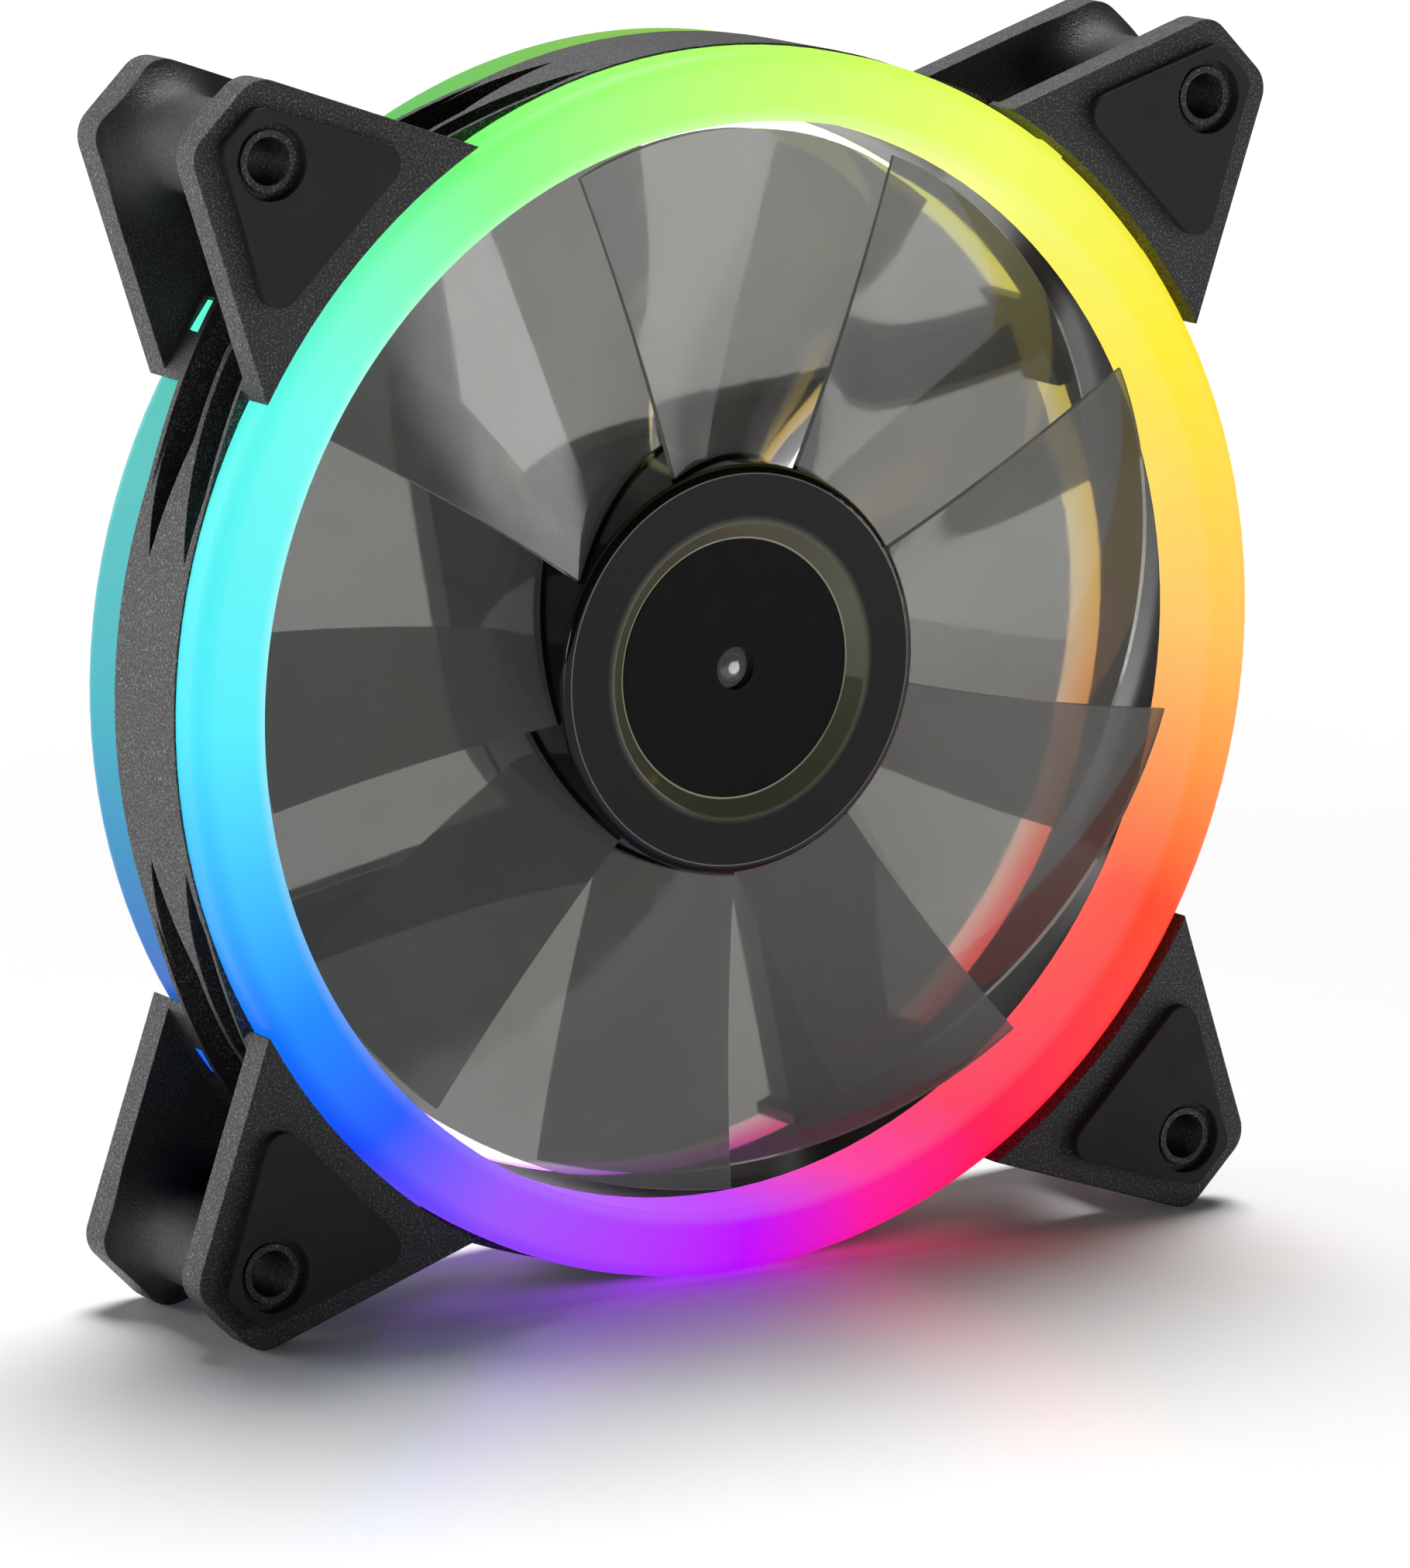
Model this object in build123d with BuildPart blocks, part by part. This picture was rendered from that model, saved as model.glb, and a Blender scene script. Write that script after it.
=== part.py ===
"""Case fan, 120 mm, with two glowing rings: every sub-part as its own STEP file.

Millimetres. The fan stands on its two lower ears: X to the right, Z up, and the
spin axis along Y with the intake face towards -Y. The origin is on the spin axis,
half way through the depth.
"""
import os
from math import cos, radians, sin

from build123d import *

os.makedirs("parts", exist_ok=True)

# ---------------------------------------------------------------- mounting
HOLE_OFFSET = 52.5          # screw holes from the axis, a 105 mm square
HOLE_R = 2.25
PAD_FACE = 12.5             # rubber faces from mid depth, 25 mm over both

# ---------------------------------------------------------------- duct and belt
DUCT_R = 53.0
TUBE_OUTER_R = 55.2
SHELF_INNER_R = 54.7
BELT_R = 60.0
POCKET_REACH = 72.0
TUBE_FRONT = -5.2
TUBE_BACK = 6.1
BELT_FRONT = -6.9
BELT_BACK = 4.7
FRONT_RIB_BACK = -6.3
BACK_RIB_FRONT = 3.9

# Corners of the belt pockets on one side of an ear: distance across the ear, depth.
FRONT_POCKET_TIP = (31.0, -5.8)
FRONT_POCKET_BEND = (22.5, -2.4)
FRONT_POCKET_TOP = (12.0, 0.1)
FRONT_POCKET_FOOT = (24.5, FRONT_RIB_BACK)
BACK_POCKET_TIP = (31.0, 0.9)
BACK_POCKET_BEND = (26.0, 2.8)
BACK_POCKET_TOP = (19.5, BACK_RIB_FRONT)
BACK_POCKET_FORK = (20.4, -0.75)
BACK_POCKET_FOOT = (12.0, 1.0)

# ---------------------------------------------------------------- ears
EAR_FACE = 11.4             # flange faces from mid depth
EAR_THICK = 3.5
EAR_BACK = EAR_FACE - EAR_THICK
EAR_CORNER = (60.42, 53.6)
EAR_TIP = (51.75, 27.9)
EAR_ROOT = (30.0, 30.0)
EAR_CORNER_FILLET = 3.0
EAR_INNER_R = 60.35
EAR_BEVEL = 0.12
SWELL_ROOT_R = 59.85        # ribs and ledges swell outwards under an ear
SWELL_RISE = 2.35
SWELL_REACH = 30.0          # angle from the ear's diagonal at which the swell runs out
SWELL_STEP = 5.0
LEDGE_INNER_R = 59.4
WINDOW_ANGLE = 9.2          # light windows either side of each ear's diagonal
WINDOW_WIDTH = 3.6
WINDOW_HEIGHT = 2.0
WINDOW_LENGTH = 8.0
BOSS_R = 4.6
FRONT_FLARE = 3.2           # hollow fillets where the boss meets the flanges
BACK_FLARE = 4.5
FLARE_R = 9.2
COLLAR_R = 2.92
COLLAR_FACE = 11.8
OVERLAP = 0.5               # how far joined shapes and cuts reach past each other's faces

# ---------------------------------------------------------------- rubber pads
PAD_CORNER = (57.7, 53.9)
PAD_TOE = (52.42, 37.14)
PAD_CORNER_FILLET = 1.6
PAD_TOE_FILLET = 2.0
PAD_HOLE_R = 3.6
PAD_EDGE = 0.12

# ---------------------------------------------------------------- lit rings
RING_OUTER_R = 59.8
RING_FACE = 12.3
RING_SHOULDER = 11.2
RING_CROWN_R = 56.6
RING_OUTER_WALL_R = 58.2
RING_INNER_WALL_R = 54.6
RING_SHOULDER_FILLET = 2.4
RING_CROWN_FILLET = 8.0
RING_LIP_FILLET = 0.9
RING_ROOF = 10.8
RING_TAB_ANGLE = 8.0
RING_TAB_WIDTH = 3.0
RING_TAB_HEIGHT = 2.3
RING_TAB_R = 60.2
RING_TAB_ROOT_R = 59.2
RING_TAB_LENGTH = 6.0
WINDOW_TAB_R = 61.35        # the rear ring's tabs fill the light windows
WINDOW_TAB_GAP = 0.15
RING_ROOF_FALL = 0.4
OUTLET_WIDTH = 5.0
OUTLET_HEIGHT = 2.6
OUTLET_LENGTH = 14.0
LED_BOARD_INNER_R = 54.9
LED_BOARD_OUTER_R = 57.9
LED_BOARD_THICK = 1.0
LED_COUNT = 18
LED_LENGTH = 3.5
LED_WIDTH = 2.2
LED_HEIGHT = 0.9

# ---------------------------------------------------------------- struts and motor base
STRUT_LEAN = 12.0           # the first strut rises this many degrees above X
STRUT_OUTER = 20.2          # outer edges of the struts from the axis
STRUT_INNER = 13.6
WIRE_STRUT_INNER = 7.6
STRUT_BEVEL = 1.1
STRUT_FRONT = 8.4
STRUT_BACK = 12.0
STRUT_REACH = 52.6
FOOT_INNER_R = 51.9
FOOT_OUTER_R = 54.5
FOOT_FRONT = 5.2
FOOT_MARGIN = 1.7
FOOT_LENGTH = 24.0
NOTCH_GAP = 0.15
CHANNEL_INNER = 9.5
CHANNEL_OUTER = 18.3
CHANNEL_FLOOR = 9.5
CHANNEL_START = 9.0
CHANNEL_END = 56.0
PEEP_AT = (40.6, 14.8)      # small square hole through the wire strut
PEEP_SIZE = 1.5
HOOK_AT = (50.5, 12.5)      # hooked slot beside the foot of the wire strut
HOOK_LONG = 3.6
HOOK_SHORT = 1.7
HOOK_SLOT = 0.5
BASE_R = 20.2
BASE_BORE_R = 18.8
BASE_FRONT = 7.6
BASE_FLOOR = 10.6
POST_R = 1.1
POST_AT = 16.4
POST_ANGLES = (35, 125, 215)
LABEL_RECESS_R = 17.8
LABEL_RECESS = 0.2
REAR_LABEL_R = 17.5
REAR_LABEL_THICK = 0.15
WIRE_R = 0.45
WIRE_PITCH = 1.1
WIRE_COUNT = 4
WIRE_FIRST = 10.3
WIRE_DEPTH = 10.1
WIRE_START = 10.0
WIRE_END = 50.0

# ---------------------------------------------------------------- impeller
BLADE_COUNT = 9
HUB_R = 20.0
HUB_FRONT = -10.5
HUB_BACK = 7.0
HUB_BORE_R = 18.1
HUB_PLATE_BACK = -8.05
HUB_RIM_FILLET = 0.9
DISH_OUTER_R = 14.35
DISH_INNER_R = 12.75
DISH_FLOOR = -9.3
DISH_FILLET = 0.5
HUB_LABEL_R = 12.6
HUB_LABEL_THICK = 0.15
DIMPLE_R = 2.1
DIMPLE_FLOOR = -8.8
GATE_R = 1.3
GATE_RISE = 0.45
GATE_ROOT = 0.1             # how far the gate mark reaches into the hub
BLADE_TIP_R = 51.6
BLADE_ROOT_R = 18.7
BLADE_STATIONS = (12.0, 25.0, 38.0, 51.8)
BLADE_LEAD = -9.2
BLADE_TRAIL = 3.6
ROOT_HALF_CHORD = 11.5
TIP_HALF_CHORD = 27.5
TIP_SWEEP = 3.0
ROOT_THICK = 1.7
TIP_THICK = 1.1
CAMBER = 0.28
THICKNESS_STEPS = ((0.0, 0.3), (0.25, 0.9), (0.5, 1.0), (0.75, 0.8), (1.0, 0.25))

# ---------------------------------------------------------------- motor
POLE_COUNT = 4
SHAFT_R = 1.5
SHAFT_FRONT = -8.0
SHAFT_BACK = 9.0
SHAFT_CHAMFER = 0.3
GROOVE_R = 1.2
GROOVE_FRONT = 7.5
GROOVE_BACK = 8.0
CLIP_R = 2.6
CLIP_BORE_R = 1.25
CLIP_SLOT = 1.6
CLIP_THICK = 0.4
SLEEVE_R = 3.5
SLEEVE_BORE_R = 1.53
SLEEVE_FRONT = -4.6
SLEEVE_BACK = 6.8
SEAL_BORE_R = 1.85
SEAL_THICK = 0.3
THRUST_PAD_R = 3.4
THRUST_PAD_FRONT = 9.35
THRUST_PAD_BACK = 10.3
BEARING_TUBE_R = 4.9
BEARING_BORE_R = 3.55
BEARING_TUBE_FRONT = -5.0
BEARING_BORE_END = 10.35
YOKE_R = 18.05
YOKE_WALL_R = 17.2
YOKE_FRONT = -8.0
YOKE_PLATE_BACK = -7.1
YOKE_BACK = 6.5
YOKE_BORE_R = 1.52
YOKE_COLLAR_R = 3.0
YOKE_COLLAR_BACK = -5.5
YOKE_FILLET = 0.6
WASHER_R = 3.0
WASHER_BORE_R = 1.6
WASHER_FRONT = -5.4
WASHER_BACK = -5.15
MAGNET_R = 17.15
MAGNET_BORE_R = 15.3
MAGNET_FRONT = -5.5
MAGNET_BACK = 6.0
CORE_R = 14.8
CORE_SHOE_R = 12.9
CORE_HUB_R = 7.0
CORE_BORE_R = 4.95
CORE_ARM = 3.0
CORE_GAP = 3.5
CORE_FRONT = -3.5
CORE_BACK = 4.5
INSULATOR_THICK = 1.1
INSULATOR_HUB_R = 7.4
INSULATOR_ARM = 3.4
INSULATOR_REACH = 12.7
COIL_INNER_AT = 7.6
COIL_OUTER_AT = 12.0
COIL_WIDTH = 8.4
COIL_WINDOW = 3.6
COIL_FRONT = -6.0
COIL_BACK = 7.0
COIL_WINDOW_GAP = 0.1
COIL_FILLET = 1.8
BOARD_R = 18.6
BOARD_BORE_R = 5.2
BOARD_FRONT = 8.6
BOARD_BACK = 9.6
CHIP_SIZE = (5.0, 4.0, 1.2)
HALL_SIZE = (3.0, 3.0, 1.1)
CAPACITOR_SIZE = (3.2, 1.8, 1.2)
COMPONENT_AT = 14.7

QUARTER_TURNS = [Location((0, 0, 0), (0, 90 * turn, 0)) for turn in range(4)]
CORNERS = ("top_right", "bottom_right", "bottom_left", "top_left")


def layer(y):
    """Plane across the axis at depth y, drawn as seen from the front.

    A positive extrusion goes towards the front.
    """
    return Plane(origin=(0, y, 0), x_dir=(1, 0, 0), z_dir=(0, -1, 0))


def turned(angle):
    """Turn a sketch anticlockwise about the axis."""
    return Location((0, 0, 0), (0, 0, angle))


def save(part, label):
    """Name a finished sub-part and write its STEP file."""
    part.label = label
    export_step(part, f"parts/{label}.step")


def washer(outer_r, inner_r, front, back):
    """Flat ring about the axis between two depths."""
    with BuildPart() as ring:
        with BuildSketch(layer(back)):
            Circle(outer_r)
            Circle(inner_r, mode=Mode.SUBTRACT)
        extrude(amount=back - front)
    return ring.part


# Plane looking outwards along the top right ear: local x across the ear, y to the back.
EAR_DIAGONAL = Plane(origin=(0, 0, 0), x_dir=(1, 0, -1), z_dir=(1, 0, 1))

# Plane looking along the first strut: local x to its outer side, y towards the front.
LEAN = radians(STRUT_LEAN)
STRUT_SECTION = Plane(
    origin=(0, 0, 0),
    x_dir=(-sin(LEAN), 0, cos(LEAN)),
    z_dir=(cos(LEAN), 0, sin(LEAN)),
)

# ================================================================ belt between the rings
with BuildPart() as belt:
    with BuildSketch(layer(BELT_BACK)):
        Circle(BELT_R)
        Circle(SHELF_INNER_R, mode=Mode.SUBTRACT)
    extrude(amount=BELT_BACK - BELT_FRONT)


def mirrored(point):
    """The same corner on the other side of the ear."""
    return (-point[0], point[1])


# Each ear's pockets run straight out along its diagonal and leave three thin ribs.
with BuildPart() as pockets:
    with BuildSketch(EAR_DIAGONAL):
        with BuildLine():
            ThreePointArc(FRONT_POCKET_TIP, FRONT_POCKET_BEND, FRONT_POCKET_TOP)
            Line(FRONT_POCKET_TOP, mirrored(FRONT_POCKET_TOP))
            ThreePointArc(*map(mirrored, (FRONT_POCKET_TOP, FRONT_POCKET_BEND, FRONT_POCKET_TIP)))
            Polyline(*map(mirrored, (FRONT_POCKET_TIP, FRONT_POCKET_FOOT)))
            Polyline(mirrored(FRONT_POCKET_FOOT), FRONT_POCKET_FOOT, FRONT_POCKET_TIP)
        make_face()
        with BuildLine():
            ThreePointArc(BACK_POCKET_TIP, BACK_POCKET_BEND, BACK_POCKET_TOP)
            Line(BACK_POCKET_TOP, mirrored(BACK_POCKET_TOP))
            ThreePointArc(*map(mirrored, (BACK_POCKET_TOP, BACK_POCKET_BEND, BACK_POCKET_TIP)))
            Polyline(*map(mirrored, (BACK_POCKET_TIP, BACK_POCKET_FORK, BACK_POCKET_FOOT)))
            Line(mirrored(BACK_POCKET_FOOT), BACK_POCKET_FOOT)
            Polyline(BACK_POCKET_FOOT, BACK_POCKET_FORK, BACK_POCKET_TIP)
        make_face()
    extrude(amount=POCKET_REACH)

with BuildPart() as pocketed_belt:
    add(belt.part)
    with Locations(*QUARTER_TURNS):
        add(pockets.part, mode=Mode.SUBTRACT)

# ================================================================ ear, drawn top right
with BuildSketch() as ear_outline:
    Polygon(EAR_TIP, EAR_CORNER, EAR_CORNER[::-1], EAR_TIP[::-1], EAR_ROOT, align=None)
    corners = ear_outline.vertices().group_by(SortBy.DISTANCE)[-1]
    fillet(corners, EAR_CORNER_FILLET)



def swell_point(angle):
    """Point on the swollen edge at an angle from the ear's diagonal."""
    radius = SWELL_ROOT_R + SWELL_RISE * cos(radians(90 * angle / SWELL_REACH)) ** 2
    return (radius * cos(radians(45 + angle)), radius * sin(radians(45 + angle)))


# The swell of the ribs, as seen from the front, and the part of it under the flanges.
swell_steps = int(SWELL_REACH / SWELL_STEP)
swell_points = [swell_point(SWELL_STEP * step) for step in range(-swell_steps, swell_steps + 1)]
with BuildSketch() as swell:
    with BuildLine():
        Spline(*swell_points)
        Polyline(swell_points[-1], (0, 0), swell_points[0])
    make_face()
    Circle(LEDGE_INNER_R, mode=Mode.SUBTRACT)

with BuildSketch() as ledge_outline:
    add(ear_outline.sketch)
    add(swell.sketch, mode=Mode.INTERSECT)
    Circle(EAR_INNER_R, mode=Mode.SUBTRACT)

with BuildPart() as front_flange:
    with BuildSketch(layer(-EAR_BACK)):
        add(ear_outline.sketch)
        Circle(EAR_INNER_R, mode=Mode.SUBTRACT)
    extrude(amount=EAR_THICK)
    face_edges = front_flange.edges().group_by(Axis.Y)[0]
    outer_edges = face_edges.filter_by(
        lambda e: e.geom_type == GeomType.LINE or e.radius < BELT_R / 2
    )
    chamfer(outer_edges, EAR_BEVEL)

with BuildPart() as front_ledge:
    with BuildSketch(layer(FRONT_RIB_BACK)):
        add(swell.sketch)
    extrude(amount=FRONT_RIB_BACK - BELT_FRONT)
    with BuildSketch(layer(FRONT_RIB_BACK)):
        add(ledge_outline.sketch)
    extrude(amount=EAR_BACK + FRONT_RIB_BACK + OVERLAP)

with BuildPart() as back_ledge:
    with BuildSketch(layer(BELT_BACK)):
        add(swell.sketch)
    extrude(amount=BELT_BACK - BACK_RIB_FRONT)
    with BuildSketch(layer(EAR_BACK + OVERLAP)):
        add(ledge_outline.sketch)
    extrude(amount=EAR_BACK + OVERLAP - BACK_RIB_FRONT)
    with BuildSketch(layer(BELT_BACK + WINDOW_HEIGHT)):
        for side in (-1, 1):
            with Locations(turned(45 + side * WINDOW_ANGLE)):
                with Locations((BELT_R, 0)):
                    Rectangle(WINDOW_LENGTH, WINDOW_WIDTH)
    extrude(amount=WINDOW_HEIGHT, mode=Mode.SUBTRACT)

with BuildPart() as boss:
    with BuildSketch(Plane(origin=(HOLE_OFFSET, 0, HOLE_OFFSET))) as boss_profile:
        Polygon(
            (0, -COLLAR_FACE),
            (COLLAR_R, -COLLAR_FACE),
            (COLLAR_R, -EAR_BACK - OVERLAP),
            (FLARE_R, -EAR_BACK - OVERLAP),
            (FLARE_R, -EAR_BACK),
            (BOSS_R, -EAR_BACK),
            (BOSS_R, EAR_BACK),
            (FLARE_R, EAR_BACK),
            (FLARE_R, EAR_BACK + OVERLAP),
            (COLLAR_R, EAR_BACK + OVERLAP),
            (COLLAR_R, COLLAR_FACE),
            (0, COLLAR_FACE),
            align=None,
        )
        fillet(boss_profile.vertices().sort_by_distance((BOSS_R, -EAR_BACK))[0], FRONT_FLARE)
        fillet(boss_profile.vertices().sort_by_distance((BOSS_R, EAR_BACK))[0], BACK_FLARE)
    revolve(axis=Axis((HOLE_OFFSET, 0, HOLE_OFFSET), (0, 1, 0)))
    with BuildSketch(layer(PAD_FACE)):
        add(ear_outline.sketch)
    extrude(amount=2 * PAD_FACE, mode=Mode.INTERSECT)

with BuildPart() as ear:
    add(front_flange.part)
    mirror(front_flange.part, about=Plane.XZ)
    add(front_ledge.part)
    add(back_ledge.part)
    add(boss.part)
    with BuildSketch(layer(PAD_FACE)):
        with Locations((HOLE_OFFSET, HOLE_OFFSET)):
            Circle(HOLE_R)
    extrude(amount=2 * PAD_FACE, mode=Mode.SUBTRACT)


# ================================================================ struts
def strut_bars(margin):
    """Plan of the four struts' outer ends, widened on both sides."""
    with BuildSketch() as bars:
        for turn, inner in enumerate((STRUT_INNER, STRUT_INNER, STRUT_INNER, WIRE_STRUT_INNER)):
            with Locations(turned(STRUT_LEAN + 90 * turn)):
                with Locations((STRUT_REACH, (STRUT_OUTER + inner) / 2)):
                    Rectangle(FOOT_LENGTH, STRUT_OUTER - inner + 2 * margin)
    return bars.sketch


with BuildPart() as strut:
    with BuildSketch(STRUT_SECTION):
        Polygon(
            (STRUT_INNER, -STRUT_BACK),
            (STRUT_OUTER, -STRUT_BACK),
            (STRUT_OUTER, -STRUT_FRONT),
            (STRUT_INNER + STRUT_BEVEL, -STRUT_FRONT),
            (STRUT_INNER, -STRUT_FRONT - STRUT_BEVEL),
            align=None,
        )
    extrude(amount=STRUT_REACH)
    with BuildSketch(layer(STRUT_BACK)):
        Circle(FOOT_OUTER_R)
    extrude(amount=STRUT_BACK - STRUT_FRONT, mode=Mode.INTERSECT)

with BuildPart() as wire_strut:
    with BuildSketch(STRUT_SECTION):
        Polygon(
            (WIRE_STRUT_INNER, -STRUT_BACK),
            (STRUT_OUTER, -STRUT_BACK),
            (STRUT_OUTER, -STRUT_FRONT),
            (WIRE_STRUT_INNER, -STRUT_FRONT),
            align=None,
        )
    extrude(amount=STRUT_REACH)
    with BuildSketch(layer(STRUT_BACK)):
        Circle(FOOT_OUTER_R)
    extrude(amount=STRUT_BACK - STRUT_FRONT, mode=Mode.INTERSECT)

with BuildPart() as wire_cuts:
    with BuildSketch(layer(STRUT_BACK + OVERLAP)):
        with Locations(turned(STRUT_LEAN - 90)):
            with Locations(((CHANNEL_START + CHANNEL_END) / 2, (CHANNEL_INNER + CHANNEL_OUTER) / 2)):
                Rectangle(CHANNEL_END - CHANNEL_START, CHANNEL_OUTER - CHANNEL_INNER)
    extrude(amount=STRUT_BACK + OVERLAP - CHANNEL_FLOOR)
    with BuildSketch(layer(STRUT_BACK)):
        with Locations(turned(STRUT_LEAN - 90)):
            with Locations(PEEP_AT):
                Rectangle(PEEP_SIZE, PEEP_SIZE)
            with Locations(HOOK_AT):
                Rectangle(HOOK_SLOT, HOOK_LONG, align=(Align.MIN, Align.MIN))
                Rectangle(HOOK_SHORT, HOOK_SLOT, align=(Align.MIN, Align.MIN))
    extrude(amount=STRUT_BACK - STRUT_FRONT + OVERLAP)

# ================================================================ frame
with BuildPart() as frame:
    # Duct tube.
    with BuildSketch(Plane.XY):
        Polygon(
            (DUCT_R, TUBE_FRONT),
            (TUBE_OUTER_R, TUBE_FRONT),
            (TUBE_OUTER_R, BELT_BACK),
            (SHELF_INNER_R, BELT_BACK),
            (SHELF_INNER_R, TUBE_BACK),
            (DUCT_R, TUBE_BACK),
            align=None,
        )
    revolve(axis=Axis.Y)
    add(pocketed_belt.part)
    with Locations(*QUARTER_TURNS):
        add(ear.part)
    # Three plain struts, then the wide one that carries the wires.
    with Locations(QUARTER_TURNS[0], QUARTER_TURNS[2], QUARTER_TURNS[3]):
        add(strut.part)
    with Locations(QUARTER_TURNS[1]):
        add(wire_strut.part)
    # Feet where the struts meet the duct.
    with BuildSketch(layer(STRUT_BACK)):
        add(strut_bars(FOOT_MARGIN))
        Circle(FOOT_OUTER_R, mode=Mode.INTERSECT)
        Circle(FOOT_INNER_R, mode=Mode.SUBTRACT)
    extrude(amount=STRUT_BACK - FOOT_FRONT)
    # Motor base: a shallow cup with the bearing tube in its middle.
    with BuildSketch(layer(STRUT_BACK)):
        Circle(BASE_R)
    extrude(amount=STRUT_BACK - BASE_FRONT)
    with BuildSketch(layer(BASE_FLOOR)):
        Circle(BASE_BORE_R)
    extrude(amount=BASE_FLOOR - BASE_FRONT + OVERLAP, mode=Mode.SUBTRACT)
    with BuildSketch(layer(BASE_FLOOR)):
        Circle(BEARING_TUBE_R)
    extrude(amount=BASE_FLOOR - BEARING_TUBE_FRONT)
    with BuildSketch(layer(BASE_FLOOR)):
        for angle in POST_ANGLES:
            with Locations(turned(angle)):
                with Locations((POST_AT, 0)):
                    Circle(POST_R)
    extrude(amount=BASE_FLOOR - BOARD_BACK)
    with BuildSketch(layer(BEARING_BORE_END)):
        Circle(BEARING_BORE_R)
    extrude(amount=BEARING_BORE_END - BEARING_TUBE_FRONT + OVERLAP, mode=Mode.SUBTRACT)
    with BuildSketch(layer(STRUT_BACK)):
        Circle(LABEL_RECESS_R)
    extrude(amount=LABEL_RECESS, mode=Mode.SUBTRACT)
    add(wire_cuts.part, mode=Mode.SUBTRACT)
save(frame.part, "frame")


# ================================================================ rubber pads
with BuildSketch() as pad_outline:
    Polygon(PAD_TOE, PAD_CORNER, PAD_CORNER[::-1], PAD_TOE[::-1], align=None)
    corners = pad_outline.vertices().group_by(SortBy.DISTANCE)[-1]
    fillet(corners, PAD_CORNER_FILLET)
    toes = pad_outline.vertices().group_by(SortBy.DISTANCE)[0]
    fillet(toes, PAD_TOE_FILLET)
    with Locations((HOLE_OFFSET, HOLE_OFFSET)):
        Circle(PAD_HOLE_R, mode=Mode.SUBTRACT)

with BuildPart() as pad:
    with BuildSketch(layer(-EAR_FACE)):
        add(pad_outline.sketch)
    extrude(amount=PAD_FACE - EAR_FACE)
    fillet(pad.edges().group_by(Axis.Y)[0], PAD_EDGE)

for corner, turn in zip(CORNERS, QUARTER_TURNS):
    with BuildPart() as front_pad:
        with Locations(turn):
            add(pad.part)
    save(front_pad.part, f"front_pad_{corner}")
    save(mirror(front_pad.part, about=Plane.XZ), f"rear_pad_{corner}")


# ================================================================ lit rings
def ring_cover(outer_foot, inner_foot, tab_angle, tab_width, tab_height, tab_r):
    """Milky ring with eight tabs, open towards the fan, drawn as the front one."""
    with BuildPart() as cover:
        with BuildSketch(Plane.XY) as profile:
            Polygon(
                (RING_OUTER_R, -outer_foot),
                (RING_OUTER_R, -RING_SHOULDER),
                (RING_CROWN_R, -RING_FACE),
                (DUCT_R, -RING_FACE),
                (DUCT_R, -inner_foot),
                (RING_INNER_WALL_R, -inner_foot),
                (RING_INNER_WALL_R, -RING_ROOF),
                (RING_OUTER_WALL_R, -RING_ROOF + RING_ROOF_FALL),
                (RING_OUTER_WALL_R, -outer_foot),
                align=None,
            )
            shoulder = profile.vertices().sort_by_distance((RING_OUTER_R, -RING_SHOULDER))[0]
            fillet(shoulder, RING_SHOULDER_FILLET)
            crown = profile.vertices().sort_by_distance((RING_CROWN_R, -RING_FACE))[0]
            fillet(crown, RING_CROWN_FILLET)
            lip = profile.vertices().sort_by_distance((DUCT_R, -RING_FACE))[0]
            fillet(lip, RING_LIP_FILLET)
        revolve(axis=Axis.Y)
        with BuildSketch(layer(-outer_foot)):
            for side in (-1, 1):
                for quarter in range(4):
                    with Locations(turned(45 + 90 * quarter + side * tab_angle)):
                        with Locations((RING_OUTER_R, 0)):
                            Rectangle(RING_TAB_LENGTH, tab_width)
            Circle(tab_r, mode=Mode.INTERSECT)
            Circle(RING_TAB_ROOT_R, mode=Mode.SUBTRACT)
        extrude(amount=tab_height)
    return cover.part


front_cover = ring_cover(
    -BELT_FRONT,
    -TUBE_FRONT,
    RING_TAB_ANGLE,
    RING_TAB_WIDTH,
    RING_TAB_HEIGHT,
    RING_TAB_R,
)
save(front_cover, "front_diffuser")

rear_cover = ring_cover(
    BELT_BACK,
    TUBE_BACK,
    WINDOW_ANGLE,
    WINDOW_WIDTH - 2 * WINDOW_TAB_GAP,
    WINDOW_HEIGHT - WINDOW_TAB_GAP,
    WINDOW_TAB_R,
)
with BuildPart() as rear_diffuser:
    mirror(rear_cover, about=Plane.XZ)
    # The inner wall stops at the strut feet.
    with BuildSketch(layer(RING_FACE + OVERLAP)):
        add(strut_bars(FOOT_MARGIN + NOTCH_GAP))
        Circle(RING_INNER_WALL_R + NOTCH_GAP, mode=Mode.INTERSECT)
        Circle(FOOT_INNER_R, mode=Mode.SUBTRACT)
    extrude(amount=RING_FACE + OVERLAP - BELT_BACK, mode=Mode.SUBTRACT)
    # Outlet for the lead under the outer wall, beside the wire strut.
    with BuildSketch(layer(BELT_BACK + OUTLET_HEIGHT)):
        with Locations(turned(STRUT_LEAN - 90)):
            with Locations((BELT_R, (CHANNEL_INNER + CHANNEL_OUTER) / 2)):
                Rectangle(OUTLET_LENGTH, OUTLET_WIDTH)
        Circle(LED_BOARD_INNER_R, mode=Mode.SUBTRACT)
    extrude(amount=OUTLET_HEIGHT + OVERLAP, mode=Mode.SUBTRACT)
save(rear_diffuser.part, "rear_diffuser")

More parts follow.
